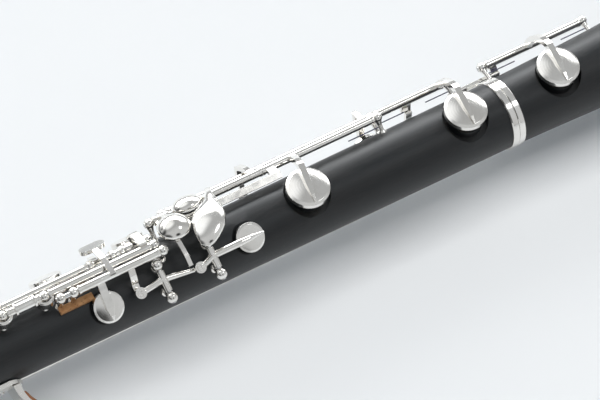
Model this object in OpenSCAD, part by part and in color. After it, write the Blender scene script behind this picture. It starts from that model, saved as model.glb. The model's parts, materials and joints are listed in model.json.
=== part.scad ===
/* [Wooden body] */
// Length of the upper joint, from its top end to the middle ring
upper_len = 230; // [229:0.5:231]
// Length of the lower joint, from the middle ring to the bell ring
lower_len = 247; // [246:0.5:248]
// Length of the bell
bell_len = 123; // [120:1:128]
// Radius of the lower joint at its bell end
lower_r = 13.1; // [13:0.05:13.2]
// Radius of the bell's rim
rim_r = 28.5; // [27:0.5:30]
// Radius of the reed socket in the top end
reed_socket_r = 2.6; // [2.5:0.05:2.7]
// Depth of the reed socket
reed_socket_depth = 23; // [18:1:26]

/* [Keywork] */
// Outer radius of a key's hinge tube
tube_r = 1.55; // [1.5:0.05:1.6]
// Radius of the steel rod that a hinge tube turns on
rod_r = 0.95; // [0.9:0.05:1]
// Radial clearance between rod and hinge tube
fit_gap = 0.05; // [0.03:0.01:0.08]
// Radius of a post's ball head
ball_r = 2; // [1.9:0.05:2.1]
// Radius of the four large key cups
big_cup_r = 8.2; // [8:0.1:8.3]
// Radius of a finger plate
plate_r = 6.25; // [6:0.05:6.3]
// How far the instrument is rolled on to its left side as it lies
roll = 54; // [50:1:58]

/* [Hidden] */
$fn = 64;
lower_x = upper_len;
ring_x = upper_len + lower_len;
end_x = ring_x + bell_len;
ring_r = lower_r + 0.75;
ring_w = 2.8;
post_half = 1.5;          // half a post's width along the rod, across its flats
end_gap = 0.25;           // between a hinge tube's end and the post beside it
pad_gap = 0.05;           // between a closed pad and its tone hole
pad_rise = 0.5;           // how far a pad stands out of its cup
cup_top = 1.7;            // from the top of a cup to the top of its pad
fit_r = rod_r + fit_gap;

// Hinge lines that run along the body: angle from the front towards the right hand, distance from the axis
line_f = [67, 19.2];
line_d = [55, 18.6];
line_e = [36, 16.6];
line_near = [12, 18.8];
line_far = [-12, 19.9];
line_b = [-116, 16.9];
line_b_flat = [-134, 16.9];
line_bell = [-22, 20.4];
line_plates = [42, 15.4];
line_trill = [64, 15.6];
line_trill_two = [82, 15.6];
line_g_sharp = [-48, 15.4];
line_thumb = [-150, 13.2];
line_side = [-66, 13.4];

// Cross hinges of the two F resonance levers
lever_one_x = ring_x - 153;
lever_two_x = ring_x - 132.4;
lever_y = -15.8;
lever_top = 3.6;
lever_bottom = -9;
lever_z = -1.8;

// Tone holes: place along the body, angle, cup radius, seat height above the axis, hole radius, cup height
hole_f_sharp = [ring_x - 222.5, 0, plate_r, 12.1, 2.6, 3.4];
hole_e = [ring_x - 188.5, 0, plate_r, 12.2, 2.8, 3.4];
hole_d = [ring_x - 154.5, 0, plate_r, 12.3, 3, 3.4];
hole_f = [ring_x - 175.4, 100, 5.8, 12.2, 2.8, 3.2];
hole_f_res = [ring_x - 116.2, 96.5, 5.5, 12.4, 2.2, 3.2];
hole_e_flat = [ring_x - 104.5, -72, 7, 12.5, 3.6, 3.6];
hole_c_sharp = [ring_x - 88, 71, big_cup_r, 12.3, 4.6, 3.8];
hole_c = [ring_x - 49.5, -64, big_cup_r, 12.4, 4.8, 3.8];
hole_b = [ring_x - 18.6, 71, big_cup_r, 12.5, 5, 3.8];
hole_bell = [ring_x + 23.2, 71, big_cup_r, 12.7, 5, 3.8];
hole_half = [86, 0, 5.8, 10.2, 1.6, 3.2];
hole_a = [120, 0, 5.8, 10.9, 2, 3.2];
hole_g = [156, 0, 6, 11.6, 2.2, 3.2];
hole_g_sharp = [184, -18, 4.6, 12, 2, 3];
hole_trill = [58, 26, 4.2, 9.6, 1.6, 3];
hole_trill_two = [44, 44, 4.2, 9.3, 1.6, 3];
hole_thumb = [62, -118, 3.4, 9.7, 0.8, 2.8];
hole_side = [34, -30, 3.4, 9.2, 0.8, 2.8];
upper_holes = [hole_half, hole_a, hole_g, hole_g_sharp, hole_trill, hole_trill_two, hole_thumb, hole_side];
lower_holes = [hole_f_sharp, hole_e, hole_d, hole_f, hole_f_res, hole_e_flat, hole_c_sharp, hole_c, hole_b];

// How far each open-standing key stands open, in degrees
open_plate = 9;
open_big = 6.5;
open_bell = 5.5;

// Where the posts stand along the body
f_post_one = ring_x - 191;
f_post_two = ring_x - 185.8;
f_post_three = ring_x - 149.2;
d_post = ring_x - 195.5;
d_post_two = ring_x - 212.3;
d_post_three = ring_x - 221.5;
plate_end = ring_x - 150.5;
near_start = ring_x - 145.5;
near_mid = ring_x - 128.5;
near_end = ring_x - 47.5;
far_start = ring_x - 137;
far_mid = ring_x - 46.8;
far_end = ring_x - 13.2;
b_end = ring_x - 26.5;
b_flat_end = ring_x - 6.5;
bell_start = ring_x + 4.6;
bell_stop = ring_x + 51;

// Posts: place along the body, then the hinge line that they hold
upper_posts_at = [[77, line_plates], [172, line_plates], [52, line_trill], [214, line_trill],
    [38, line_trill_two], [221, line_trill_two], [178, line_g_sharp], [206, line_g_sharp],
    [56, line_thumb], [92, line_thumb], [28, line_side], [76, line_side]];
lower_posts_at = [[lower_x + 12, line_e], [plate_end, line_e], [d_post, line_d], [d_post_two, line_d],
    [d_post_three, line_d], [plate_end, line_d], [f_post_one, line_f], [f_post_two, line_f],
    [f_post_three, line_f], [near_start, line_near], [near_mid, line_near], [near_end, line_near],
    [far_start, line_far], [far_mid, line_far], [far_end, line_far], [lower_x + 14, line_b],
    [b_end, line_b], [lower_x + 14, line_b_flat], [b_flat_end, line_b_flat]];
bell_posts_at = [[bell_start, line_bell], [bell_stop, line_bell]];

// ---- Helpers ----

// Lies the instrument down on its left side, rolled about its own axis
module lay() rotate([-roll, 0, 0]) children();

// Puts +Z along the radius at a place and angle on the body
module radial(x, angle) translate([x, 0, 0]) rotate([angle, 0, 0]) children();

// A ring of revolution about the instrument's axis, from points [x, r]
module turned(points) rotate([90, 0, 90]) rotate_extrude($fn = 128) polygon([for (p = points) [p[1], p[0]]]);

// A point across the body: distance from the axis and angle, as [y, z]
function polar(r, a) = [-r * sin(a), r * cos(a)];

// A point beside a tone hole: along the tangent u and outwards w, at angle a
function beside(u, w, a) = [-w * sin(a) - u * cos(a), w * cos(a) - u * sin(a)];

// A plate across the body, centred at x, from a [y, z] outline
module slab(x, thickness, points)
    translate([x - thickness / 2, 0, 0]) rotate([90, 0, 90]) linear_extrude(thickness) polygon(points);

// An arc-shaped band across the body: inner and outer radius at its start and at its end
module band(x, thickness, a0, a1, inner, outer, steps = 10) {
    out = [for (i = [0:steps]) polar(outer[0] + (outer[1] - outer[0]) * i / steps, a0 + (a1 - a0) * i / steps)];
    in = [for (i = [steps:-1:0])
        polar(inner[0] + (inner[1] - inner[0]) * i / steps, a0 + (a1 - a0) * i / steps)];
    slab(x, thickness, concat(out, in));
}

// Turns a key about its hinge line
module turn_key(line, angle) {
    c = polar(line[1], line[0]);
    translate([0, c[0], c[1]]) rotate([angle, 0, 0]) translate([0, -c[0], -c[1]]) children();
}

// A solid rod on a hinge line
module along(line, x0, x1, r) radial(0, line[0]) translate([x0, 0, line[1]]) rotate([0, 90, 0])
    cylinder(r = r, h = x1 - x0);

// A key with its hinge tubes, each [x0, x1]: the children are joined on and the bores cleared
module hinged(line, tubes) {
    difference() {
        union() {
            for (t = tubes) along(line, t[0], t[1], tube_r);
            for (t = tubes) for (x = [t[0], t[1] - 1]) along(line, x, x + 1, tube_r + 0.2);
            children();
        }
        along(line, -1, end_x, fit_r);
    }
}

// A key cup over a tone hole, closed, with a slightly domed top and room for its pad
module cup(hole, dome = 1.2) {
    r = hole[2];
    h = hole[5];
    top = [for (i = [8:-1:0]) [r * i / 8, h - dome * pow(i / 8, 2) - (i == 8 ? 0.25 : 0)]];
    outline = concat([[0, h - cup_top], [r - 0.7, h - cup_top], [r - 0.7, pad_rise], [r, pad_rise]], top);
    radial(hole[0], hole[1]) translate([0, 0, hole[3] + pad_gap]) rotate_extrude() polygon(outline);
}

// The pad in a cup
module pad(hole) color("antiquewhite") radial(hole[0], hole[1]) translate([0, 0, hole[3] + pad_gap])
    cylinder(r = hole[2] - 0.72, h = hole[5] - cup_top);

// A finger plate: a cup with a dished top
module plate(hole) {
    difference() {
        cup(hole, 0.1);
        radial(hole[0], hole[1]) translate([0, 0, hole[3] + hole[5] + 15.6]) sphere(r = 16);
    }
}

// The pointed blade from a hinge line across a cup; lean turns it about the cup's own axis
module blade(hole, line, width, height, lean = 0, arch = 0) {
    s = sign(hole[1] - line[0]);
    top = hole[3] + pad_gap + hole[5];
    r = hole[2];
    near = hole[1] - s * atan(r * 0.95 / top);
    steps = 8;
    function lift(i) = arch * sin(180 * i / steps);
    function reach(i) = line[1] + (norm([top, r]) + 0.4 - line[1]) * i / steps;
    over = [for (i = [0:steps])
        polar(reach(i) + height * 0.55 + lift(i), line[0] + (near - line[0]) * i / steps)];
    under = [for (i = [steps:-1:0]) polar(reach(i) - height * 0.5 + lift(i) * 0.8,
        line[0] + (near - line[0]) * i / steps)];
    tip = [beside(0, top + height * 0.8, hole[1]), beside(s * r * 0.55, top + height * 0.35, hole[1]),
        beside(s * r * 0.9, top - 0.2, hole[1]), beside(s * r * 0.9, top - 1, hole[1]),
        beside(-s * r * 0.9, top - 1, hole[1])];
    radial(hole[0], hole[1]) rotate([0, 0, lean]) intersection() {
        rotate([-hole[1], 0, 0]) slab(0, width, concat(over, tip, under));
        // narrows to a point past the cup's middle
        translate([0, 0, -end_x / 2]) linear_extrude(end_x) polygon([[-width / 2, s * 60], [width / 2, s * 60],
            [width / 2, 0], [0.25, -s * r * 0.9], [-0.25, -s * r * 0.9], [-width / 2, 0]]);
    }
}

// A short flat arm from a hinge line to the side of a cup
module side_arm(hole, line, width) {
    s = sign(line[0] - hole[1]);
    c = polar(line[1], line[0]);
    w = hole[3] + pad_gap + hole[5];
    edge = s * (hole[2] - 0.5);
    slab(hole[0], width, [c + [0, tube_r * 0.8], c - [0, tube_r * 0.8],
        beside(edge, w - 1.5, hole[1]), beside(edge * 0.6, w - 1.1, hole[1]),
        beside(edge * 0.6, w - 0.6, hole[1]), beside(edge, w - 0.3, hole[1])]);
}

// Half a ring that joins two hinge tubes round the outer side of the post between them
module post_loop(x, line) radial(x, line[0]) translate([0, 0, line[1]]) rotate([0, 0, 180])
    rotate_extrude(angle = 180) polygon([[2.55, -2.9], [2.8, -3.3], [3.5, -3.3], [3.8, -2.9], [3.8, 0],
        [3.5, 0.4], [2.8, 0.4], [2.55, 0]]);

// A round bar between two points, its radius r1 at the first and r2 at the second
module strut(a, b, r1, r2) {
    d = b - a;
    translate(a) rotate([0, acos(d[2] / norm(d)), atan2(d[1], d[0])]) cylinder(r1 = r1, r2 = r2, h = norm(d));
}

// A post: ball head with flats, neck, foot and the shank in the wood
module post(x, line, wood_r) radial(x, line[0]) {
    translate([0, 0, line[1]]) intersection() {
        sphere(r = ball_r);
        cube([2 * post_half, 2 * ball_r, 2 * ball_r], center = true);
    }
    translate([0, 0, wood_r - 2]) cylinder(r = 0.95, h = line[1] - wood_r + 1);
    translate([0, 0, wood_r - 0.6]) cylinder(r1 = 1.9, r2 = 1.5, h = 1.2);
    translate([0, 0, line[1] - ball_r - 0.9]) cylinder(r1 = 0.95, r2 = 1.35, h = 1.4);
}

// A rounded flat touch piece: length along the body, width, thickness
module touch_plate(x, angle, height, length, width, thick) radial(x, angle) translate([0, 0, height]) {
    cube([length - width, width, thick], center = true);
    for (i = [-1, 1]) translate([i * (length - width) / 2, 0, -thick / 2]) cylinder(r = width / 2, h = thick);
}

// ---- Wooden body ----

function upper_wood(x) = x < 36 ? 8.6 + 2 * pow((36 - x) / 36, 2) : 8.6 + 3.3 * (x - 36) / (upper_len - 36);
function lower_wood(x) = lower_r - 0.9 * (ring_x - x) / lower_len;
function bell_wood(t) = lower_r + 0.1 + 3.4 * t + (rim_r - lower_r - 3.5) * pow(t, 4);
function bore_at(x) = 2.1 + 6 * (x - reed_socket_depth) / (ring_x - reed_socket_depth);
function bell_bore(t) = 8.6 + 3 * t + (rim_r - 14.8) * pow(t, 4);
tenon_len = 15;
tenon_r = 9.2;
bell_tenon_r = 10.6;
cork_t = 0.5;

module tone_holes(holes) {
    for (h = holes) radial(h[0], h[1]) cylinder(r = h[4], h = 40);
}

module raised_rims(holes) {
    for (h = holes) radial(h[0], h[1]) translate([0, 0, h[3] - 4])
        cylinder(r1 = h[4] + 1.8, r2 = h[4] + 1.1, h = 4);
}

// A bed round each tone hole, deep enough for its whole edge to show
module beds(holes, wood_r) {
    for (h = holes) radial(h[0], h[1])
        translate([0, 0, min(h[3] - 1.2, sqrt(pow(wood_r, 2) - pow(h[2] + 0.6, 2)) - 0.1)])
            cylinder(r = h[2] + 0.6, h = 20);
}

module upper_joint() color([0.13, 0.12, 0.13]) lay() difference() {
    union() {
        turned(concat([[2.5, 0], [2.5, 10.2]],
            [for (i = [0:6]) [4 + 32 * i / 6, upper_wood(4 + 32 * i / 6)]],
            [[208, upper_wood(208)], [218, 12.9], [upper_len, 13.2],
            [upper_len, tenon_r], [upper_len + tenon_len, tenon_r], [upper_len + tenon_len, 0]]));
        raised_rims(upper_holes);
    }
    turned([[-1, 0], [-1, reed_socket_r], [reed_socket_depth, reed_socket_r], [reed_socket_depth, 2.1],
        [upper_len + tenon_len + 1, bore_at(upper_len + tenon_len + 1)], [upper_len + tenon_len + 1, 0]]);
    tone_holes(upper_holes);
}

module lower_joint() color([0.13, 0.12, 0.13]) lay() difference() {
    union() {
        difference() {
            turned([[lower_x + 3.2, 0], [lower_x + 3.2, 13.2], [lower_x + 17, lower_wood(lower_x + 17)],
                [ring_x - ring_w, lower_wood(ring_x - ring_w)], [ring_x - ring_w, bell_tenon_r],
                [ring_x + tenon_len, bell_tenon_r], [ring_x + tenon_len, 0]]);
            beds(lower_holes, lower_r);
        }
        intersection() {
            raised_rims(lower_holes);
            turned([[lower_x + 6, 0], [lower_x + 6, 20], [ring_x - 6, 20], [ring_x - 6, 0]]);
        }
    }
    turned([[lower_x - 1, 0], [lower_x - 1, tenon_r + cork_t], [lower_x + tenon_len + 0.4, tenon_r + cork_t],
        [lower_x + tenon_len + 0.4, bore_at(lower_x)], [ring_x + tenon_len + 1, bore_at(ring_x)],
        [ring_x + tenon_len + 1, 0]]);
    tone_holes(lower_holes);
}

module bell() color([0.13, 0.12, 0.13]) lay() difference() {
    union() {
        difference() {
            turned(concat([[ring_x + ring_w, 0]],
                [for (i = [0:16]) let(t = i / 16)
                    [ring_x + ring_w + (bell_len - ring_w - 2) * t, bell_wood(t)]],
                [[end_x - 0.6, rim_r - 0.1], [end_x, rim_r - 0.8], [end_x, 0]]));
            beds([hole_bell], lower_r);
        }
        raised_rims([hole_bell]);
    }
    turned(concat([[ring_x - 1, 0], [ring_x - 1, bell_tenon_r + cork_t],
        [ring_x + tenon_len + 0.4, bell_tenon_r + cork_t]],
        [for (i = [2:16]) let(t = i / 16) [ring_x + bell_len * t, bell_bore(t)]],
        [[end_x + 1, bell_bore(1)], [end_x + 1, 0]]));
    tone_holes([hole_bell]);
}

module top_ring() color("silver") lay() turned([[0, reed_socket_r], [0, 9.6], [0.5, 10.2], [2.2, 10.5],
    [2.5, 10.2], [2.5, reed_socket_r]]);

module middle_ring() color("silver") lay() turned([[lower_x + 0.05, 10.6], [lower_x + 0.05, 13.5],
    [lower_x + 0.5, 13.9], [lower_x + 2.8, 13.9], [lower_x + 3.2, 13.5], [lower_x + 3.2, 10.6]]);

module band_ring(x, flip) lay() translate([x, 0, 0]) mirror([flip, 0, 0]) turned([[0.04, 11.3],
    [0.04, ring_r - 0.25], [0.3, ring_r], [ring_w - 0.4, ring_r], [ring_w, ring_r - 0.35], [ring_w, 11.3]]);

module lower_ring() color("silver") band_ring(ring_x, 1);

module bell_ring() color("silver") band_ring(ring_x, 0);

module cork_sleeve(x, r) color("peru") lay()
    turned([[x + 1, r], [x + 1, r + cork_t], [x + tenon_len - 1, r + cork_t], [x + tenon_len - 1, r]]);

module middle_cork() cork_sleeve(upper_len, tenon_r);

module bell_cork() cork_sleeve(ring_x, bell_tenon_r);

// ---- Posts, rods and springs ----

module upper_posts() color("silver") lay() difference() {
    for (p = upper_posts_at) post(p[0], p[1], upper_wood(p[0]));
    for (l = [line_plates, line_trill, line_trill_two, line_g_sharp, line_thumb, line_side])
        along(l, 0, lower_x, rod_r);
}

module cross_post(x, z) {
    angle = atan2(-lever_y, z);
    radial(x, angle) {
        reach = norm([lever_y, z]);
        translate([0, 0, 11]) cylinder(r = 0.95, h = reach - 11);
        translate([0, 0, 12.1]) cylinder(r1 = 1.9, r2 = 1.5, h = 1.2);
        translate([0, 0, reach - 2.4]) cylinder(r1 = 0.95, r2 = 1.4, h = 1.2);
    }
    translate([x, lever_y, z]) sphere(r = ball_r + 0.15);
}

module lower_posts() color("silver") lay() difference() {
    union() {
        for (p = lower_posts_at) post(p[0], p[1], lower_wood(p[0]));
        for (x = [lever_one_x, lever_two_x]) for (z = [lever_top, lever_bottom]) cross_post(x, z);
    }
    for (l = [line_e, line_d, line_f, line_near, line_far, line_b, line_b_flat])
        along(l, lower_x, ring_x, rod_r);
    for (x = [lever_one_x, lever_two_x]) translate([x, lever_y, lever_bottom])
        cylinder(r = rod_r, h = 30, center = true);
}

module bell_posts() color("silver") lay() difference() {
    for (p = bell_posts_at) post(p[0], p[1], 13.4);
    along(line_bell, ring_x, end_x, rod_r);
}

module rod(line, x0, x1) {
    difference() {
        along(line, x0 - post_half - 0.3, x1 + post_half + 0.3, rod_r);
        // screwdriver slot
        c = polar(line[1], line[0]);
        translate([x0 - post_half - 0.3, c[0], c[1]]) cube([0.6, 0.4, 2.4], center = true);
    }
}

module upper_rods() color("lightsteelblue") lay() {
    rod(line_plates, 77, 172);
    rod(line_trill, 52, 214);
    rod(line_trill_two, 38, 221);
    rod(line_g_sharp, 178, 206);
    rod(line_thumb, 56, 92);
    rod(line_side, 28, 76);
}

module lower_rods() color("lightsteelblue") lay() {
    rod(line_e, lower_x + 12, plate_end);
    rod(line_d, d_post_three, plate_end);
    rod(line_f, f_post_one, f_post_three);
    rod(line_near, near_start, near_end);
    rod(line_far, far_start, far_end);
    rod(line_b, lower_x + 14, b_end);
    rod(line_b_flat, lower_x + 14, b_flat_end);
    for (x = [lever_one_x, lever_two_x]) translate([x, lever_y, lever_bottom - ball_r - 0.3])
        cylinder(r = rod_r, h = lever_top - lever_bottom + 2 * ball_r + 0.6);
}

module bell_rod() color("lightsteelblue") lay() rod(line_bell, bell_start, bell_stop);

// Needle springs, from a post's neck along the body
module needle(x, line, length, drop) radial(0, line[0]) translate([min(x, x + length), 0, line[1] - drop])
    rotate([0, 90, 0]) cylinder(r = 0.22, h = abs(length), $fn = 24);

module springs() color("steelblue") lay() {
    needle(far_mid, line_far, 13, 3.6);
    needle(far_end, line_far, -11, 3.6);
    needle(near_end, line_near, -14, 3.6);
    needle(far_start, line_far, 15, 3.8);
    needle(bell_start, line_bell, 13, 3.4);
    needle(bell_stop, line_bell, -12, 3.4);
    needle(lower_x + 12, line_e, 9, 2.9);
    needle(plate_end, line_d, -10, 3.4);
    needle(77, line_plates, 10, 3);
    needle(172, line_plates, -12, 3);
}

// ---- Thumb rest at the back ----

rest_x = ring_x - 225;
strap_hole_r = 2.2;
strap_x = rest_x - 10;

module thumb_rest() color("silver") lay() {
    // plate on the body with rounded ends, and its two screws
    difference() {
        intersection() {
            turned([[rest_x - 13, 12.75], [rest_x - 13, 14.1], [rest_x + 13, 14.1], [rest_x + 13, 12.75]]);
            translate([rest_x, 0, -20]) linear_extrude(12) {
                square([13.6, 12.4], center = true);
                for (i = [-1, 1]) translate([i * 6.8, 0]) circle(r = 6.2);
            }
        }
        for (x = [-4.5, 4.5]) radial(rest_x + x, 180) cylinder(r = 1.2, h = 30);
    }
    for (x = [-4.5, 4.5]) radial(rest_x + x, 180) translate([0, 0, 12.9]) cylinder(r = 1.15, h = 1.6);
    // hook for the thumb, curving towards the bell
    translate([rest_x, 0, 0]) rotate([90, 0, 0]) translate([0, 0, -5.5]) linear_extrude(11)
        polygon([[8, -13.4], [8.4, -17], [9.8, -21], [12.6, -24.6], [16.6, -27.2], [17.4, -26],
            [14, -23.4], [11.8, -20.2], [10.8, -16.6], [11, -13.4]]);
    // ring for a neck strap
    radial(strap_x, 180) translate([0, 0, 17.4]) rotate([90, 0, 0]) difference() {
        union() {
            cylinder(r = strap_hole_r + 1.1, h = 1.8, center = true);
            translate([-1.2, -strap_hole_r - 2.2, -0.9]) cube([2.4, 2, 1.8]);
        }
        cylinder(r = strap_hole_r, h = 4, center = true);
    }
}

module thumb_cushion() color("sienna") lay() translate([rest_x, 0, 0]) rotate([90, 0, 0])
    translate([0, 0, -6]) linear_extrude(12) polygon([[10.8, -16.6], [11.8, -20.2], [14, -23.4], [17.4, -26],
        [18.2, -24.7], [15.2, -22.3], [13.2, -19.4], [12.3, -16.6]]);

// ---- Keys of the lower joint ----

module f_sharp_key() color("gainsboro") lay() turn_key(line_e, open_plate)
    hinged(line_e, [[lower_x + 12 + post_half + end_gap, hole_f_sharp[0] + 12]]) {
        side_arm(hole_f_sharp, line_e, 3);
        plate(hole_f_sharp);
    }

module f_sharp_pad() lay() turn_key(line_e, open_plate) pad(hole_f_sharp);

module e_key() color("gainsboro") lay() turn_key(line_e, open_plate)
    hinged(line_e, [[hole_f_sharp[0] + 12 + end_gap, plate_end - post_half - end_gap]]) {
        side_arm(hole_e, line_e, 3);
        // adjusting arm towards the D key
        band(hole_e[0] + 17, 2.4, line_e[0], 20, [16.2, 15.4], [17.8, 17]);
        plate(hole_e);
    }

module e_pad() lay() turn_key(line_e, open_plate) pad(hole_e);

module d_key() color("gainsboro") lay() turn_key(line_d, open_plate * 0.7)
    hinged(line_d, [[d_post + post_half + end_gap, plate_end - post_half - end_gap],
        [d_post_two + post_half + end_gap, d_post - post_half - end_gap],
        [d_post_three + post_half + end_gap, d_post_two - post_half - end_gap]]) {
        // collars and loops that carry the tube past its posts
        along(line_d, ring_x - 207.6, ring_x - 199.2, tube_r + 0.35);
        for (x = [ring_x - 207.6, ring_x - 200]) along(line_d, x, x + 0.8, tube_r + 0.9);
        for (x = [d_post, d_post_two]) post_loop(x, line_d);
        // tab over the F sharp key's tube
        band(ring_x - 217, 2.4, line_d[0] - 2, 40, [19.4, 19.6], [20.8, 20.8]);
        // arm over the E key's tube to the plate
        band(hole_d[0], 3, line_d[0] - 2, 30, [19.4, 18.8], [20.9, 20.1]);
        band(hole_d[0], 3, 30, 16, [18.8, 15.8], [20.1, 16.6]);
        plate(hole_d);
    }

module d_pad() lay() turn_key(line_d, open_plate * 0.7) pad(hole_d);

module f_key() color("gainsboro") lay()
    hinged(line_f, [[f_post_two + post_half + end_gap, f_post_three - post_half - end_gap]]) {
        cup(hole_f, 0.3);
        blade(hole_f, line_f, 3, 1.4);
        // arm under the first resonance lever's eye
        band(lever_one_x - 10, 2.6, line_f[0], 88, [18.6, 13.4], [20.1, 14.6]);
        band(lever_one_x - 10, 2.6, 88, 98, [13.4, 13.3], [14.6, 14.3]);
        // arm over the D key's tube to the touch
        band(hole_f[0] + 5, 2.2, line_f[0] + 3, 30, [20.6, 21], [22, 22.2]);
        touch_plate(hole_f[0] + 5, 27, 21.5, 10, 4.6, 1.5);
    }

module f_pad() lay() pad(hole_f);

// A cross lever: hinge tube, round bar and the eye with its adjusting screw; raise sets the eye further out
// and drop sets it lower
module cross_lever(x, left, raise, drop) {
    out = lever_y - raise;
    eye_z = lever_z - drop;
    difference() {
        union() {
            translate([x, lever_y, lever_bottom + ball_r + 0.4]) cylinder(r = tube_r,
                h = lever_top - lever_bottom - 2 * ball_r - 0.8);
            strut([x, lever_y, lever_z], [x + left + 1, out, eye_z], 1.3, 1.05);
            translate([x + left, out + 1, eye_z]) rotate([90, 0, 0]) cylinder(r = 2.1, h = 2);
            children();
        }
        translate([x, lever_y, -20]) cylinder(r = fit_r, h = 40);
    }
    // screw head with its slot
    translate([x + left, out - 0.95, eye_z]) rotate([90, 0, 0]) difference() {
        cylinder(r = 1.35, h = 0.55);
        translate([0, 0, 0.55]) cube([0.4, 3, 0.5], center = true);
    }
}

module f_lever_one() color("gainsboro") lay() cross_lever(lever_one_x, -10, 0.2, 1.2)
    // bar, set in below the second lever's eye
    strut([lever_one_x, lever_y, lever_z], [lever_one_x + 15, lever_y + 0.7, lever_z - 2.2], 1.3, 0.7);

module f_lever_two() color("gainsboro") lay() {
    tip = hole_f_res[0] + hole_f_res[2] * 0.95;
    cross_lever(lever_two_x, -7, 2.2, 2) {
        // bar that narrows to a point past the cup
        translate([lever_two_x, lever_y - 0.2, lever_z]) rotate([0, 90, 0]) rotate_extrude()
            polygon([[0, 0], [1.3, 0], [1.4, tip - lever_two_x - 9.5], [1.2, tip - lever_two_x - 6],
                [0.3, tip - lever_two_x], [0, tip - lever_two_x]]);
        // end of the adjusting screw, on the first lever's tip
        translate([lever_two_x - 7, lever_y - 0.45, lever_z - 2]) rotate([90, 0, 0]) cylinder(r = 0.6, h = 2);
    }
    cup(hole_f_res, 0.3);
}

module f_res_pad() lay() pad(hole_f_res);

module e_flat_key() color("gainsboro") lay()
    hinged(line_near, [[near_mid + post_half + end_gap, hole_e_flat[0] + 6.4]]) {
        // arch over the far rod to the cup
        band(hole_e_flat[0] + 3, 2, line_near[0], -18, [18.2, 23.6], [20, 25.6]);
        band(hole_e_flat[0] + 3, 2, -18, -46, [23.6, 18.5], [25.6, 20.2]);
        // arm down to the touch
        band(hole_e_flat[0] - 18.5, 3, line_near[0], 44, [18.9, 21.6], [20.3, 23]);
        cup(hole_e_flat);
        blade(hole_e_flat, [-44, 19.2], 2.2, 1.8, 9);
    }

module e_flat_touch() color("whitesmoke") lay() hull() {
    radial(ring_x - 128.5, 61) translate([0, 0, 22.4]) scale([1.1, 0.9, 0.42]) sphere(r = 5.5, $fn = 32);
    radial(ring_x - 133.3, 78) translate([0, 0, 22.7]) scale([1, 1, 0.55]) sphere(r = 2.5, $fn = 24);
    radial(ring_x - 123.2, 39) translate([0, 0, 22.1]) scale([1, 1, 0.5]) sphere(r = 1.5, $fn = 24);
}

module e_flat_pad() lay() pad(hole_e_flat);

module c_sharp_key() color("gainsboro") lay() turn_key(line_near, -open_big) {
    start = near_start + post_half + end_gap;
    hinged(line_near, [[start, start + 6.4],
        [hole_e_flat[0] + 6.4 + end_gap, near_end - post_half - end_gap]]) {
        // flat bar that passes beside the E flat key's tube
        slab((start + hole_e_flat[0] + 12) / 2, hole_e_flat[0] + 12 - start,
            [[-6.1, 12.8], [-7.3, 12.8], [-7.3, 15.4], [-6.1, 15.4]]);
        for (x = [start + 2, hole_e_flat[0] + 10])
            slab(x, 3.4, [[-3.9, 17.2], [-7.2, 13], [-7.3, 15.3], [-4.4, 19.6]]);
        // arm to the touch
        band(start + 3.4, 2.8, line_near[0], 38, [18.4, 18.9], [20, 20.4]);
        // stalk down to the second resonance lever
        band(start + 0.85, 1.7, 30, 101, [18.6, 17], [20.2, 18.5], 14);
        cup(hole_c_sharp);
        blade(hole_c_sharp, line_near, 2.4, 2.2, -11);
    }
}

module c_sharp_touch() color("whitesmoke") lay() turn_key(line_near, -open_big) radial(ring_x - 142.2, 46)
    translate([0, 0, 21]) scale([1, 0.78, 0.58]) sphere(r = 6.7, $fn = 48);

module c_sharp_pad() lay() turn_key(line_near, -open_big) pad(hole_c_sharp);

module c_key() color("gainsboro") lay() turn_key(line_far, open_big)
    hinged(line_far, [[far_start + post_half + end_gap, far_mid - post_half - end_gap]]) {
        // tab that the C lever's finger lifts
        band(ring_x - 133, 3, line_far[0], -1, [18.8, 19.4], [20.6, 20.6]);
        // raised arch behind the cup's blade
        band(hole_c[0] - 0.4, 2, line_far[0] - 1, -22, [19.6, 24], [21.2, 25.6]);
        band(hole_c[0] - 0.4, 1.8, -21, -40, [23, 18.4], [25.3, 20.4]);
        cup(hole_c);
        blade(hole_c, line_far, 2.4, 2, -3);
    }

module c_lever() lay() {
    color("gainsboro") hinged(line_near, [[ring_x - 135.6, near_mid - post_half - end_gap]]) {
        band(ring_x - 132, 2.6, line_near[0], 25, [18.4, 19.8], [20.1, 21.4]);
        // finger under the C key's tab
        band(ring_x - 133, 3, line_near[0], -2, [17, 16.4], [18.8, 17.8]);
    }
    color("whitesmoke") radial(ring_x - 131.2, 28) translate([0, 0, 21.3]) scale([1, 0.78, 0.52])
        sphere(r = 5.8, $fn = 48);
}

module c_pad() lay() turn_key(line_far, open_big) pad(hole_c);

module b_key() color("gainsboro") lay() turn_key(line_far, -open_big)
    hinged(line_far, [[far_mid + post_half + end_gap, far_end - post_half - end_gap]]) {
        // tab over the B lever's finger
        band(ring_x - 31, 4, line_far[0], -27, [18.9, 18.3], [20.9, 19.5]);
        cup(hole_b);
        blade(hole_b, line_far, 2.4, 2.2, -7);
    }

module b_pad() lay() turn_key(line_far, -open_big) pad(hole_b);

module b_lever() color("gainsboro") lay() {
    hinged(line_b, [[lower_x + 14 + post_half + end_gap, b_end - post_half - end_gap]]) {
        band(lower_x + 20, 4, line_b[0], -88, [16.1, 19.2], [17.7, 20.5]);
        // finger round to the B key
        band(ring_x - 31, 2.6, line_b[0], -30, [16.2, 15.6], [17.6, 16.8], 16);
        band(ring_x - 31, 2.6, -30, -22, [15.6, 15.8], [16.8, 17.4]);
    }
    touch_plate(lower_x + 20, -84, 20.6, 13, 8, 1.6);
}

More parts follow.
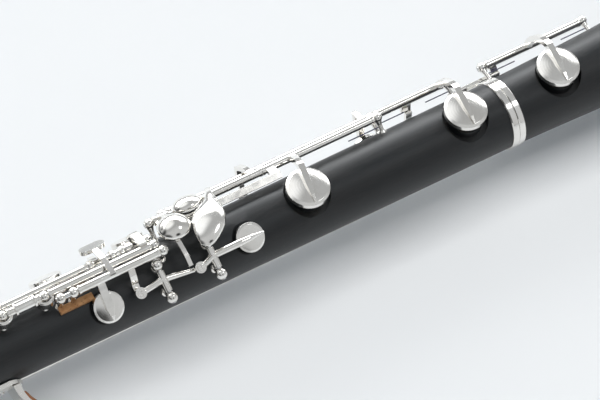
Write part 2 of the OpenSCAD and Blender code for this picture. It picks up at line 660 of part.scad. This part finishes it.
module b_flat_lever() color("gainsboro") lay()
    hinged(line_b_flat, [[lower_x + 14 + post_half + end_gap, b_flat_end - post_half - end_gap]]) {
        // passes under the B lever's tube and rises to its touch
        band(lower_x + 36, 4, line_b_flat[0], -123, [16.1, 13.1], [17.7, 14.6]);
        band(lower_x + 36, 4, -123, -108, [13.1, 13.1], [14.6, 14.4]);
        band(lower_x + 36, 4, -108, -88, [13.1, 19.2], [14.4, 20.5]);
        // finger round to the bell key's bridge
        band(ring_x - 9.5, 2.6, line_b_flat[0], -116, [16.2, 14.5], [17.6, 15.5]);
        band(ring_x - 9.5, 2.6, -116, -26, [14.5, 14.5], [15.5, 15.5], 16);
        touch_plate(lower_x + 36, -84, 20.6, 13, 8, 1.6);
    }

module bell_key() color("gainsboro") lay() turn_key(line_bell, -open_bell)
    hinged(line_bell, [[bell_start + post_half + end_gap, bell_stop - post_half - end_gap]]) {
        // bridge back over the ring to the lever on the lower joint
        band(ring_x + 9, 3, line_bell[0], -33, [19.8, 16.2], [21.4, 17.6]);
        slab(ring_x - 1, 23, [polar(16.3, -29), polar(17.6, -29), polar(17.6, -35), polar(16.3, -35)]);
        cup(hole_bell);
        blade(hole_bell, line_bell, 2.4, 2.2, -7);
    }

module bell_pad() lay() turn_key(line_bell, -open_bell) pad(hole_bell);

// ---- Keys of the upper joint ----

module plate_key(hole, line, x0, x1, open) color("gainsboro") lay() turn_key(line, open)
    hinged(line, [[x0, x1]]) {
        side_arm(hole, line, 2.8);
        plate(hole);
    }

module half_hole_key() plate_key(hole_half, line_plates, 77 + post_half + end_gap, 100, open_plate);

module half_hole_pad() lay() turn_key(line_plates, open_plate) pad(hole_half);

module a_key() plate_key(hole_a, line_plates, 100 + end_gap, 136, open_plate);

module a_pad() lay() turn_key(line_plates, open_plate) pad(hole_a);

module g_key() plate_key(hole_g, line_plates, 136 + end_gap, 172 - post_half - end_gap, open_plate);

module g_pad() lay() turn_key(line_plates, open_plate) pad(hole_g);

module g_sharp_key() color("gainsboro") lay()
    hinged(line_g_sharp, [[178 + post_half + end_gap, 206 - post_half - end_gap]]) {
        band(200, 3.4, line_g_sharp[0], -76, [14.6, 16.4], [16.2, 17.7]);
        cup(hole_g_sharp, 0.4);
        blade(hole_g_sharp, line_g_sharp, 2.2, 1.4);
        touch_plate(200, -80, 17.6, 14, 7, 1.5);
    }

module g_sharp_pad() lay() pad(hole_g_sharp);

module trill_body(hole, line, x0, x1, touch_x, rise) {
    hinged(line, [[x0, x1]]) {
        band(touch_x, 3, line[0], line[0] + 7, [14.8, 15.8 + rise], [16.6, 17.4 + rise]);
        band(touch_x, 3, line[0] + 7, line[0] + 24, [15.8 + rise, 16.2 + rise], [17.4 + rise, 17.6 + rise]);
        cup(hole, 0.4);
        blade(hole, line, 2, 1.3);
        touch_plate(touch_x, line[0] + 27, 17 + rise, 12, 5, 1.4);
    }
}

module trill_key() color("gainsboro") lay()
    trill_body(hole_trill, line_trill, 52 + post_half + end_gap, 214 - post_half - end_gap, 194, 2.6);

module trill_pad() lay() pad(hole_trill);

module second_trill_key() color("gainsboro") lay()
    trill_body(hole_trill_two, line_trill_two, 38 + post_half + end_gap, 221 - post_half - end_gap, 212, 0.6);

module second_trill_pad() lay() pad(hole_trill_two);

module thumb_octave_key() color("gainsboro") lay()
    hinged(line_thumb, [[56 + post_half + end_gap, 92 - post_half - end_gap]]) {
        band(84, 4, line_thumb[0], -170, [12.4, 13.6], [14, 15]);
        cup(hole_thumb, 0.3);
        blade(hole_thumb, line_thumb, 1.8, 1.2);
        touch_plate(84, -178, 15, 11, 9, 1.5);
    }

module thumb_octave_pad() lay() pad(hole_thumb);

module side_octave_key() color("gainsboro") lay()
    hinged(line_side, [[28 + post_half + end_gap, 76 - post_half - end_gap]]) {
        band(70, 3, line_side[0], -92, [12.6, 14], [14.2, 15.3]);
        cup(hole_side, 0.3);
        blade(hole_side, line_side, 1.8, 1.2);
        touch_plate(70, -96, 15.3, 14, 6, 1.4);
    }

module side_octave_pad() lay() pad(hole_side);

upper_joint();
lower_joint();
bell();
top_ring();
middle_ring();
lower_ring();
bell_ring();
middle_cork();
bell_cork();
upper_posts();
lower_posts();
bell_posts();
upper_rods();
lower_rods();
bell_rod();
springs();
thumb_rest();
thumb_cushion();
f_sharp_key();
f_sharp_pad();
e_key();
e_pad();
d_key();
d_pad();
f_key();
f_pad();
f_lever_one();
f_lever_two();
f_res_pad();
e_flat_key();
e_flat_touch();
e_flat_pad();
c_sharp_key();
c_sharp_touch();
c_sharp_pad();
c_key();
c_lever();
c_pad();
b_key();
b_pad();
b_lever();
b_flat_lever();
bell_key();
bell_pad();
half_hole_key();
half_hole_pad();
a_key();
a_pad();
g_key();
g_pad();
g_sharp_key();
g_sharp_pad();
trill_key();
trill_pad();
second_trill_key();
second_trill_pad();
thumb_octave_key();
thumb_octave_pad();
side_octave_key();
side_octave_pad();
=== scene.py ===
"""An oboe on a pale studio floor, seen from the player's right side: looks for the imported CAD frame."""

import json
import math

import bmesh
import bpy
import numpy as np
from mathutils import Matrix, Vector


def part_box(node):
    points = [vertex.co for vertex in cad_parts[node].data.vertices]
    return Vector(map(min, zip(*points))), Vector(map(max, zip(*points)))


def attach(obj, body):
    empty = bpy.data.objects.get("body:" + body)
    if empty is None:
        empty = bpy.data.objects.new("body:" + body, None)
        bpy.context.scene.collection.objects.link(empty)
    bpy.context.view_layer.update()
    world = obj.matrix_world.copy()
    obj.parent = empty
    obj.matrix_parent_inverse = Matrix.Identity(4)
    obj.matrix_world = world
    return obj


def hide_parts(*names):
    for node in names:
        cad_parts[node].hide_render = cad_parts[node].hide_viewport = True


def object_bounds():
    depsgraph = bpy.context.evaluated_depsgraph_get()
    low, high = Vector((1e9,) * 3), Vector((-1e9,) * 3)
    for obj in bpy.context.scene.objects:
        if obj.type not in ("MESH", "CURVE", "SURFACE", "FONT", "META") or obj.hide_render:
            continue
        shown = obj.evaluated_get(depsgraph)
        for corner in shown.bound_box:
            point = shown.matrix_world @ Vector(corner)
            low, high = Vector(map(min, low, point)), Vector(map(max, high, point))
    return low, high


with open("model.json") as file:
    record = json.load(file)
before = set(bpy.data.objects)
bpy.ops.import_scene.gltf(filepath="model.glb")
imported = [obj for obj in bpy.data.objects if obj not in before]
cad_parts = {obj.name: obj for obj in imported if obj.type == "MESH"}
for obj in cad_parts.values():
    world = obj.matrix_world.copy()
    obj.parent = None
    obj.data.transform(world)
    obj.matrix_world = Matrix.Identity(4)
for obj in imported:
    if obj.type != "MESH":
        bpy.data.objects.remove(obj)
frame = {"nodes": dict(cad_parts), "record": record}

cad_box = [list(corner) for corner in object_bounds()]
scene = bpy.context.scene
MM = 0.001

# ---- Places on the instrument, from the frame ----

ROLL = math.radians(54)  # how far the instrument lies rolled on to its left side
ring_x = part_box("lower_ring")[1].x
REST = -225  # middle of the thumb rest, in mm from the ring


def on_body(x, angle, radius):
    """A point beside the instrument's axis: x in metres, angle in degrees from its front, radius in metres."""
    turned = math.radians(angle) - ROLL
    return Vector((x, -radius * math.sin(turned), radius * math.cos(turned)))


def laid(x, y, z):
    """A point given as if the instrument lay on its back: x from the ring, y across and z to the front, in mm."""
    return Vector((ring_x + x * MM, (y * math.cos(ROLL) + z * math.sin(ROLL)) * MM,
                   (z * math.cos(ROLL) - y * math.sin(ROLL)) * MM))


def catmull(points, steps):
    """A smooth curve through the points, each a tuple of numbers, with that many steps between neighbours."""
    ends = [points[0]] + list(points) + [points[-1]]
    curve = []
    for i in range(len(points) - 1):
        p = [np.array(q, float) for q in ends[i:i + 4]]
        for step in range(steps):
            t = step / steps
            curve.append(0.5 * (2 * p[1] + (p[2] - p[0]) * t + (2 * p[0] - 5 * p[1] + 4 * p[2] - p[3]) * t * t
                                + (3 * p[1] - p[0] - 3 * p[2] + p[3]) * t ** 3))
    curve.append(np.array(points[-1], float))
    return curve


# ---- Node helpers ----


class Nodes:
    """Short calls for building one material's node tree."""

    def __init__(self, name):
        self.material = bpy.data.materials.new(name)
        self.material.use_nodes = True
        self.tree = self.material.node_tree
        self.shader = self.tree.nodes["Principled BSDF"]
        self.place = self.tree.nodes.new("ShaderNodeTexCoord").outputs["Object"]

    def add(self, kind, settings=None, **inputs):
        node = self.tree.nodes.new("ShaderNode" + kind)
        for key, value in (settings or {}).items():
            setattr(node, key, value)
        for key, value in inputs.items():
            self.put(node.inputs[key.replace("_", " ")], value)
        return node

    def put(self, socket, value):
        if isinstance(value, bpy.types.NodeSocket):
            self.tree.links.new(value, socket)
        else:
            socket.default_value = value

    def scaled(self, scale):
        """Object coordinates in metres times a scale for each axis."""
        return self.add("Mapping", Vector=self.place, Scale=scale).outputs["Vector"]

    def noise(self, scale, detail=4.0, roughness=0.55):
        return self.add("TexNoise", Vector=self.scaled(scale), Scale=1.0, Detail=detail,
                        Roughness=roughness).outputs["Fac"]

    def cells(self, scale, feature="F1"):
        return self.add("TexVoronoi", {"feature": feature}, Vector=self.scaled(scale), Scale=1.0).outputs["Distance"]

    def ramp(self, value, low, high, out_low=0.0, out_high=1.0):
        node = self.add("MapRange", {"clamp": True}, Value=value)
        for key, number in (("From Min", low), ("From Max", high), ("To Min", out_low), ("To Max", out_high)):
            node.inputs[key].default_value = number
        return node.outputs["Result"]

    def mix(self, factor, first, second):
        node = self.add("Mix", {"data_type": "RGBA"})
        self.put(node.inputs["Factor"], factor)
        for socket, value in ((node.inputs[6], first), (node.inputs[7], second)):
            self.put(socket, value if isinstance(value, bpy.types.NodeSocket) else (*value, 1.0))
        return node.outputs[2]

    def times(self, first, second):
        node = self.add("Math", {"operation": "MULTIPLY"})
        self.put(node.inputs[0], first)
        self.put(node.inputs[1], second)
        return node.outputs["Value"]

    def plus(self, first, second):
        node = self.add("Math", {"operation": "ADD"})
        self.put(node.inputs[0], first)
        self.put(node.inputs[1], second)
        return node.outputs["Value"]

    def bumps(self, *layers, edge=0.0):
        """Bump layers of (height, depth in metres, strength), over rounded edges of a radius in metres."""
        normal = None
        if edge:
            normal = self.add("Bevel", {"samples": 4}, Radius=edge).outputs["Normal"]
        for height, depth, strength in layers:
            node = self.add("Bump", Height=height, Strength=strength, Distance=depth)
            if normal is not None:
                self.put(node.inputs["Normal"], normal)
            normal = node.outputs["Normal"]
        self.put(self.shader.inputs["Normal"], normal)

    def finish(self, **inputs):
        for key, value in inputs.items():
            self.put(self.shader.inputs[key.replace("_", " ")], value)
        return self.material


# ---- Materials ----


def grenadilla():
    n = Nodes("grenadilla")
    streaks = n.noise((180, 2600, 2600), 6.0, 0.6)
    figure = n.noise((30, 260, 260), 3.0)
    pores = n.ramp(n.cells((420, 3400, 3400)), 0.10, 0.26)
    brown = n.mix(n.ramp(figure, 0.35, 0.7), (0.0085, 0.0102, 0.0118), (0.017, 0.0162, 0.0165))
    grain = n.mix(n.ramp(streaks, 0.3, 0.75), (0.0056, 0.0068, 0.0078), brown)
    n.put(n.shader.inputs["Base Color"], n.mix(pores, (0.004, 0.004, 0.004), grain))
    n.put(n.shader.inputs["Roughness"], n.plus(n.ramp(streaks, 0.2, 0.8, 0.34, 0.46),
                                               n.ramp(figure, 0.3, 0.7, -0.03, 0.05)))
    n.bumps((streaks, 0.00003, 0.5), (pores, 0.00004, 0.5), edge=0.00025)
    return n.finish(Specular_IOR_Level=0.45)


def silver(name="silver_plate", tint=(0.93, 0.915, 0.885), shade=(0.80, 0.775, 0.73), rough=(0.07, 0.17)):
    n = Nodes(name)
    clouds = n.noise((70, 70, 70), 4.0)
    breath = n.noise((420, 420, 420), 3.0)
    scratches = n.noise((260, 5200, 1500), 2.0)
    n.put(n.shader.inputs["Base Color"], n.mix(n.ramp(clouds, 0.35, 0.75), tint, shade))
    n.put(n.shader.inputs["Roughness"], n.plus(n.ramp(breath, 0.3, 0.75, *rough),
                                               n.ramp(scratches, 0.62, 0.78, 0.0, 0.08)))
    n.bumps((scratches, 0.000006, 0.35), (clouds, 0.00004, 0.25), edge=0.00016)
    return n.finish(Metallic=1.0)


def steel(name, tint, shade, rough):
    n = Nodes(name)
    turning = n.noise((5200, 300, 300), 2.0)
    clouds = n.noise((120, 120, 120), 3.0)
    n.put(n.shader.inputs["Base Color"], n.mix(n.ramp(clouds, 0.3, 0.75), tint, shade))
    n.put(n.shader.inputs["Roughness"], n.ramp(turning, 0.3, 0.7, *rough))
    n.bumps((turning, 0.000008, 0.4), edge=0.0001)
    return n.finish(Metallic=1.0)


def cork():
    n = Nodes("cork")
    grains = n.cells((1500, 1500, 1500))
    lenticels = n.ramp(n.cells((700, 1800, 900)), 0.12, 0.3)
    tone = n.noise((300, 300, 300), 4.0)
    base = n.mix(n.ramp(tone, 0.3, 0.7), (0.34, 0.155, 0.06), (0.52, 0.29, 0.135))
    n.put(n.shader.inputs["Base Color"], n.mix(lenticels, (0.13, 0.055, 0.025), base))
    n.bumps((grains, 0.00012, 0.6), (lenticels, 0.0001, 0.6), edge=0.0002)
    return n.finish(Roughness=0.78)


def skin():
    n = Nodes("pad_skin")
    wrinkles = n.noise((900, 900, 900), 5.0, 0.65)
    tone = n.noise((200, 200, 200), 3.0)
    n.put(n.shader.inputs["Base Color"], n.mix(n.ramp(tone, 0.3, 0.7), (0.72, 0.60, 0.40), (0.82, 0.74, 0.56)))
    n.put(n.shader.inputs["Roughness"], n.ramp(wrinkles, 0.3, 0.7, 0.38, 0.55))
    n.bumps((wrinkles, 0.00006, 0.5), edge=0.0003)
    return n.finish(Subsurface_Weight=0.15, Subsurface_Radius=(0.002, 0.001, 0.0005))


def leather():
    n = Nodes("leather")
    pebbles = n.cells((1700, 1700, 1700), "SMOOTH_F1")
    creases = n.noise((600, 600, 600), 5.0, 0.6)
    tone = n.noise((150, 150, 150), 4.0)
    n.put(n.shader.inputs["Base Color"], n.mix(n.ramp(tone, 0.3, 0.7), (0.20, 0.075, 0.028), (0.36, 0.15, 0.06)))
    n.put(n.shader.inputs["Roughness"], n.ramp(creases, 0.3, 0.7, 0.42, 0.6))
    n.bumps((pebbles, 0.00012, 0.6), (creases, 0.0001, 0.4), edge=0.0003)
    return n.finish(Sheen_Weight=0.1)


FINISH = {
    "grenadilla": grenadilla(),
    "silver_plate": silver(),
    "rod_steel": steel("rod_steel", (0.80, 0.80, 0.80), (0.66, 0.655, 0.64), (0.14, 0.26)),
    "spring_steel": steel("spring_steel", (0.07, 0.085, 0.16), (0.13, 0.11, 0.16), (0.22, 0.34)),
    "cork": cork(),
    "leather": leather(),
    "pad_skin": skin(),
}
for part in frame["record"]["subparts"]:
    mesh = frame["nodes"][part["node"]].data
    mesh.materials.clear()
    mesh.materials.append(FINISH[part["material_slot"]])

# ---- Pieces ----


def piece(name, mesh, body, slot, smooth=True):
    """A finished mesh as a piece of the instrument that rides on a CAD body."""
    obj = bpy.data.objects.new(name, mesh)
    scene.collection.objects.link(obj)
    mesh.materials.append(FINISH[slot])
    if smooth:
        mesh.polygons.foreach_set("use_smooth", [True] * len(mesh.polygons))
    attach(obj, body)
    return obj


def closed_mesh(name, rows):
    """A closed mesh from rings of points, all of one length, with its two ends capped and its doubles merged."""
    count = len(rows[0])
    verts = [point for row in rows for point in row]
    faces = []
    for r in range(len(rows) - 1):
        for i in range(count):
            j = (i + 1) % count
            faces.append((r * count + i, r * count + j, (r + 1) * count + j, (r + 1) * count + i))
    faces.append(tuple(range(count)))
    faces.append(tuple((len(rows) - 1) * count + i for i in reversed(range(count))))
    mesh = bpy.data.meshes.new(name)
    mesh.from_pydata(verts, [], faces)
    bm = bmesh.new()
    bm.from_mesh(mesh)
    bmesh.ops.remove_doubles(bm, verts=bm.verts, dist=1e-6)
    bmesh.ops.dissolve_degenerate(bm, edges=bm.edges, dist=1e-6)
    bmesh.ops.recalc_face_normals(bm, faces=bm.faces)
    bm.to_mesh(mesh)
    bm.free()
    return mesh


def turned(name, profile, place, direction, segments=48):
    """A mesh turned about a line: profile is [(distance along it, radius)] from place, from one end to the other."""
    turn = Vector(direction).to_track_quat("Z", "X").to_matrix()
    rows = []
    for along, radius in profile:
        ring = [2 * math.pi * i / segments for i in range(segments)]
        rows.append([place + turn @ Vector((radius * math.cos(a), radius * math.sin(a), along)) for a in ring])
    return closed_mesh(name, rows)


def lathe(name, profile, place, direction, segments=48):
    """A mesh turned about a line: profile is [(distance along it, radius)] from place, closed on itself."""
    turn = Vector(direction).to_track_quat("Z", "X").to_matrix()
    verts, faces, count = [], [], len(profile)
    for i in range(segments):
        a = 2 * math.pi * i / segments
        for along, radius in profile:
            verts.append(place + turn @ Vector((radius * math.cos(a), radius * math.sin(a), along)))
    for i in range(segments):
        j = (i + 1) % segments
        for k in range(count):
            m = (k + 1) % count
            faces.append((i * count + k, j * count + k, j * count + m, i * count + m))
    mesh = bpy.data.meshes.new(name)
    mesh.from_pydata(verts, [], faces)
    mesh.validate()
    bm = bmesh.new()
    bm.from_mesh(mesh)
    bmesh.ops.recalc_face_normals(bm, faces=bm.faces)
    bm.to_mesh(mesh)
    bm.free()
    return mesh


# E flat touch: a polished leaf whose crest runs nearer its bell side, and whose far end is a slim arm.
# Each row: mm from the ring, degrees round the body, then mm from the axis, half width and half height.
LEAF = [(-120.9, 21, 22.4, 1.2, 0.55), (-122.6, 32, 22.6, 1.45, 0.7), (-124.3, 41, 22.5, 1.9, 1.0),
        (-125.8, 48, 22.3, 3.9, 1.7), (-127.7, 56, 22.2, 5.7, 2.5), (-129.9, 64, 22.3, 6.0, 2.8),
        (-132.2, 72, 22.5, 5.0, 2.4), (-134.2, 79, 22.7, 3.4, 1.7), (-135.6, 83.5, 22.5, 1.6, 0.8)]
UNDERSIDE = -0.75  # the leaf's lower half is flatter
CREST_SHIFT = 0.3

spine = catmull(LEAF, 8)
spots = [on_body(ring_x + point[0] * MM, point[1], point[2] * MM) for point in spine]
rows = []
for k, here in enumerate(spots):
    wide, high = spine[k][3:]
    along = (spots[min(k + 1, len(spots) - 1)] - spots[max(k - 1, 0)]).normalized()
    out = (here - Vector((here.x, 0, 0))).normalized()
    side = along.cross(out).normalized()
    side = -side if side.x < 0 else side
    row = []
    for i in range(40):
        a = 2 * math.pi * i / 40
        across, up = math.cos(a), math.sin(a)
        lift = high * abs(up) ** 0.9 * (1 if up > 0 else UNDERSIDE)
        row.append(here + (side * wide * (across + CREST_SHIFT * max(up, 0) ** 1.5) + out * lift) * MM)
    rows.append(row)
leaf = piece("e_flat_leaf", closed_mesh("e_flat_leaf", rows), "e_flat", "silver_plate")
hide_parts("e_flat_touch")

# C sharp touch: a rounder dome than the CAD's plain one, a little narrower across than along the body.
# Each pair: mm above the dome's middle, mm from its centre line.
DOME = [(-2.9, 0.0), (-2.9, 1.9), (-2.45, 3.6), (-1.7, 5.0), (-0.8, 5.95), (0.1, 6.4), (0.9, 6.35), (1.8, 5.8),
        (2.8, 4.7), (3.6, 3.3), (4.1, 1.8), (4.3, 0.0)]
DOME_X, DOME_ANGLE, DOME_RADIUS = ring_x - 141.5 * MM, 52, 21.5 * MM
DOME_NARROWED = 0.10

out = on_body(0, DOME_ANGLE, 1)
dome = turned("c_sharp_dome", [(p[0] * MM, p[1] * MM) for p in catmull(DOME, 4)], Vector((0, 0, 0)), out)
for vertex in dome.vertices:
    flat = vertex.co - out * vertex.co.dot(out)
    across = flat - Vector((flat.x, 0, 0))
    vertex.co = vertex.co - across * DOME_NARROWED + on_body(DOME_X, DOME_ANGLE, DOME_RADIUS)
dome = piece("c_sharp_dome", dome, "c_sharp", "silver_plate")
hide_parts("c_sharp_touch")

PAD_ROLL = 0.5 * MM  # radius of the rolled edge
PAD_PRESS = 0.10 * MM  # depth of the ring that the tone hole has pressed in
PRESS_PLACE, PRESS_WIDTH = 0.72, 0.09  # as parts of the flat's radius

# Pads: skin over felt with a rolled edge, and the tone hole's pressed ring
for body, names in frame["record"]["behaviour"]["bodies"].items():
    for name in names:
        if not name.endswith("_pad"):
            continue
        points = np.array([tuple(v.co) for v in frame["nodes"][name].data.vertices])
        centre = points.mean(axis=0)
        out = np.linalg.svd(points - centre)[2][2]
        if out @ (0, centre[1], centre[2]) < 0:
            out = -out
        along = (points - centre) @ out
        low, high = along.min(), along.max()
        r = np.linalg.norm(points - centre - np.outer(along, out), axis=1).max() * 0.99
        profile = [(high, 0.0), (high, r - 0.2 * MM), (high - 0.2 * MM, r)]
        for i in range(9):
            a = math.pi / 2 * i / 8
            profile.append((low + PAD_ROLL * (1 - math.sin(a)), r - PAD_ROLL * (1 - math.cos(a))))
        for i in range(13):
            t = 1 - i / 12
            groove = PAD_PRESS * math.exp(-((t - PRESS_PLACE) / PRESS_WIDTH) ** 2)
            profile.append((low + groove + 0.02 * MM * (1 - t), (r - PAD_ROLL) * t))
        skin_pad = piece(name + "_skin", turned(name + "_skin", profile, Vector(centre), out), body, "pad_skin")
        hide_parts(name)

# Thumb cushion: leather over felt on the bell side of the hook, crowned, with a sewn channel near its long edges
# Both lines: mm from the thumb rest's middle towards the bell, and mm to the front of the axis.
HOOK_SIDE = [(10.8, -16.6), (11.8, -20.2), (14.0, -23.4), (17.4, -26.0)]
FREE_SIDE = [(12.3, -16.6), (13.2, -19.4), (15.2, -22.3), (18.2, -24.7)]
HALF_WIDTH, PULLED_IN = 5.9, 0.45  # mm
CHANNEL_PLACE, CHANNEL_DEPTH = 0.80, 0.22  # as parts of the half width and of the thickness

hook_line, free_line = catmull(HOOK_SIDE, 10), catmull(FREE_SIDE, 10)
rows = []
for k, (inner, outer) in enumerate(zip(hook_line, free_line)):
    s = k / (len(hook_line) - 1)
    end = math.sqrt(max(0.0, 1 - abs(2 * s - 1) ** 5))
    width = HALF_WIDTH - PULLED_IN * math.sin(math.pi * s) - 0.9 * (1 - end)
    row = []
    for i in range(64):
        a = 2 * math.pi * i / 64
        t = math.cos(a)
        t = math.copysign(abs(t) ** 0.7, t)
        if math.sin(a) >= 0:
            crown = (1 - abs(t) ** 4) ** 0.5 * (0.35 + 0.62 * end)
            channel = CHANNEL_DEPTH * math.exp(-((abs(t) - CHANNEL_PLACE) / 0.05) ** 2) * end
            part = max(0.04, 0.04 + crown - channel)
        else:
            part = 0.03
        point = inner + (outer - inner) * part
        row.append(laid(REST + point[0], width * t, point[1]))
    rows.append(row)
cushion = piece("thumb_leather", closed_mesh("thumb_leather", rows), "body", "leather")
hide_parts("thumb_cushion")

# Turned collars along the E key's tube
COLLAR = [(-1.25, 1.5), (-1.25, 1.75), (-1.0, 2.0), (-0.5, 2.2), (0.0, 2.26), (0.5, 2.2), (1.0, 2.0), (1.25, 1.75),
          (1.25, 1.5)]
for number, x in enumerate((-160.8, -164.8, -173.7)):
    name = f"tube_collar_{number}"
    piece(name, lathe(name, [(a * MM, r * MM) for a, r in COLLAR], on_body(ring_x + x * MM, 36, 16.6 * MM),
                      (1, 0, 0)), "e", "silver_plate")


def curved_strip(name, x0, x1, a0, a1, r0, r1, steps=24):
    """A strip bent round the body, thicker in the middle, with rounded long edges."""
    rows = []
    for row in range(13):
        x = x0 + (x1 - x0) * row / 12
        top = [i / (2 * steps - 1) for i in range(2 * steps)]
        rows.append([on_body(x, a0 + (a1 - a0) * t, r1 - (r1 - r0) * 0.45 * abs(2 * t - 1) ** 8) for t in top]
                    + [on_body(x, a0 + (a1 - a0) * t, r0) for t in reversed(top)])
    return closed_mesh(name, rows)


# Bumper cork on the wood, beside the F key's posts
strip = curved_strip("bumper_cork", ring_x - 192 * MM, ring_x - 178.5 * MM, 68, 81, 12.6 * MM, 14.1 * MM)
piece("bumper_cork", strip, "body", "cork", smooth=False)


# ---- Floor ----

FLOOR_Z = cad_box[0][2] - 0.00005
FLOOR_HALF = 5.0


def floor_material():
    n = Nodes("floor")
    mottle = n.noise((6, 6, 6), 4.0)
    fine = n.noise((900, 900, 900), 2.0)
    n.put(n.shader.inputs["Base Color"], n.mix(n.ramp(mottle, 0.3, 0.7), (0.86, 0.875, 0.89), (0.88, 0.893, 0.905)))
    n.bumps((fine, 0.00004, 0.1))
    return n.finish(Roughness=0.6)


floor_mesh = bpy.data.meshes.new("floor")
floor_mesh.from_pydata([(x * FLOOR_HALF, y * FLOOR_HALF, FLOOR_Z) for x, y in ((-1, -1), (1, -1), (1, 1), (-1, 1))],
                       [], [(0, 1, 2, 3)])
floor = bpy.data.objects.new("floor", floor_mesh)
scene.collection.objects.link(floor)
floor_mesh.materials.append(floor_material())

# ---- Camera ----

VIEW_AZ = math.radians(-31.8)
VIEW_EL = math.radians(49.6)
DISTANCE = 1.229
forward = Vector((-math.sin(VIEW_AZ) * math.cos(VIEW_EL), math.cos(VIEW_AZ) * math.cos(VIEW_EL), -math.sin(VIEW_EL)))
AIM_BEFORE_RING = 0.0874
AIM_RAISED = 0.00285 * Vector((0, 0.8107, 0.586))
target = Vector((ring_x - AIM_BEFORE_RING, 0, 0)) + AIM_RAISED
camera_data = bpy.data.cameras.new("camera")
camera_data.lens = 200
camera_data.sensor_width = 36
camera_data.clip_end = 20
camera = bpy.data.objects.new("camera", camera_data)
scene.collection.objects.link(camera)
camera.location = target - forward * DISTANCE
camera.rotation_euler = forward.to_track_quat("-Z", "Y").to_euler()
scene.camera = camera

# ---- Light ----


def soft_light(name, place, aim, width, height, power, colour):
    """A soft box that lights the scene, while polished metal sees the painted room instead."""
    data = bpy.data.lights.new(name, "AREA")
    data.shape = "RECTANGLE"
    data.size = width
    data.size_y = height
    data.energy = power
    data.color = colour
    obj = bpy.data.objects.new(name, data)
    obj.visible_glossy = False
    scene.collection.objects.link(obj)
    obj.location = place
    obj.rotation_euler = (Vector(aim) - Vector(place)).to_track_quat("-Z", "Y").to_euler()


middle = (ring_x - 0.1, 0, 0)
soft_light("overhead", (ring_x - 0.1, -0.05, 1.3), middle, 2.4, 1.1, 21.0, (1.0, 0.995, 0.985))
soft_light("window", (ring_x - 0.1, 1.29, 0.77), middle, 1.4, 0.58, 3.6, (0.97, 0.985, 1.0))


class Room:
    """The room round the scene, as brightness over directions in world axes."""

    def __init__(self):
        world = bpy.data.worlds.new("room")
        scene.world = world
        world.use_nodes = True
        self.tree = world.node_tree
        self.tree.nodes.clear()
        self.toward = self.tree.nodes.new("ShaderNodeTexCoord").outputs["Generated"]
        split = self.tree.nodes.new("ShaderNodeSeparateXYZ")
        self.tree.links.new(self.toward, split.inputs[0])
        self.y, self.z = split.outputs["Y"], split.outputs["Z"]

    def step(self, value, low, high, out_low=0.0, out_high=1.0):
        node = self.tree.nodes.new("ShaderNodeMapRange")
        node.interpolation_type = "SMOOTHSTEP"
        self.tree.links.new(value, node.inputs["Value"])
        for key, number in (("From Min", low), ("From Max", high), ("To Min", out_low), ("To Max", out_high)):
            node.inputs[key].default_value = number
        return node.outputs["Result"]

    def maths(self, operation, first, second):
        node = self.tree.nodes.new("ShaderNodeMath")
        node.operation = operation
        for socket, value in zip(node.inputs, (first, second)):
            if isinstance(value, bpy.types.NodeSocket):
                self.tree.links.new(value, socket)
            else:
                socket.default_value = value
        return node.outputs["Value"]

    def spot(self, direction, core, reach, inside, outside=0.0):
        """A round soft patch about a direction: core and reach are angles in degrees."""
        node = self.tree.nodes.new("ShaderNodeVectorMath")
        node.operation = "DOT_PRODUCT"
        self.tree.links.new(self.toward, node.inputs[0])
        node.inputs[1].default_value = Vector(direction).normalized()
        return self.step(node.outputs["Value"], math.cos(math.radians(reach)), math.cos(math.radians(core)), outside,
                         inside)

    def background(self, colour, strength):
        node = self.tree.nodes.new("ShaderNodeBackground")
        node.inputs["Color"].default_value = (*colour, 1)
        if isinstance(strength, bpy.types.NodeSocket):
            self.tree.links.new(strength, node.inputs["Strength"])
        else:
            node.inputs["Strength"].default_value = strength
        return node.outputs[0]

    def choose(self, factor, first, second):
        node = self.tree.nodes.new("ShaderNodeMixShader")
        for socket, value in zip(node.inputs, (factor, first, second)):
            self.tree.links.new(value, socket)
        return node.outputs[0]


# What polished metal sees: patches are (direction, core, reach, brightness), shadows end with the light kept
PATCHES = (((-0.25, 0.45, 0.85), 14, 34, 0.7), ((0.45, -0.38, 0.80), 4, 8, 3.5))
SHADOWS = (((0.04, -0.90, 0.43), 8, 15, 0.08), ((-0.88, 0.25, 0.38), 15, 32, 0.10),
           ((-0.80, -0.56, 0.18), 14, 30, 0.16), ((-0.60, 0.66, 0.44), 8, 20, 0.12))

room = Room()
band = room.maths("MULTIPLY", room.step(room.z, 0.20, 0.32), room.step(room.z, 0.58, 0.74, 1.0, 0.0))
band = room.maths("MULTIPLY", band, room.step(room.y, 0.05, 0.45, 0.0, 6.0))
shine = room.maths("ADD", room.step(room.y, -0.45, -0.1, 0.60, 0.46), band)
for patch in PATCHES:
    shine = room.maths("ADD", shine, room.spot(*patch))
for shadow in SHADOWS:
    shine = room.maths("MULTIPLY", shine, room.spot(*shadow, 1.0))
path = room.tree.nodes.new("ShaderNodeLightPath")
seen = room.choose(path.outputs["Is Glossy Ray"], room.background((0.82, 0.92, 1.0), 0.20),
                   room.background((0.965, 0.985, 1.0), shine))
seen = room.choose(path.outputs["Is Camera Ray"], seen, room.background((0.86, 0.88, 0.90), 0.85))
room.tree.links.new(seen, room.tree.nodes.new("ShaderNodeOutputWorld").inputs["Surface"])

scene.view_settings.view_transform = "Standard"
